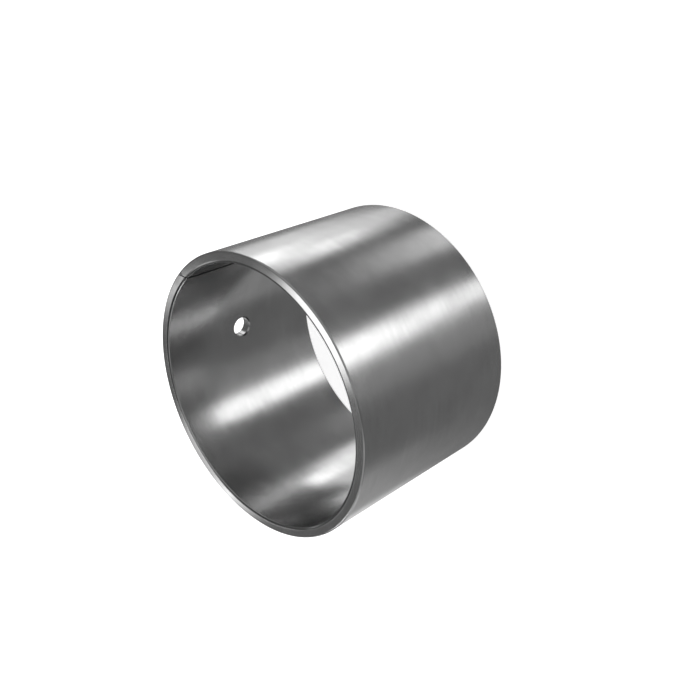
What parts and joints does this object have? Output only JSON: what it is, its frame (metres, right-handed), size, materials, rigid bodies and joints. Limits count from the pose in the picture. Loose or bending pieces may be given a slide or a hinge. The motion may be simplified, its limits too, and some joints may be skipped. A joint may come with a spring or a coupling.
{
  "type": "camshaft bushing",
  "caption": "Short split steel sleeve bearing for a camshaft journal, with a straight joint along its length, cut aslant through the wall, and one oil hole.",
  "frame": {"origin": "centre of the bore in the plane of the lower end face", "axes": "+Z along the bore, +X out through the oil hole"},
  "size_m": [0.065, 0.065, 0.0452],
  "materials": {
    "steel": "satin rolled steel, bored inside, with faced ends"
  },
  "bodies": {
    "root": {"bushing": "steel"}
  },
  "joints": []
}
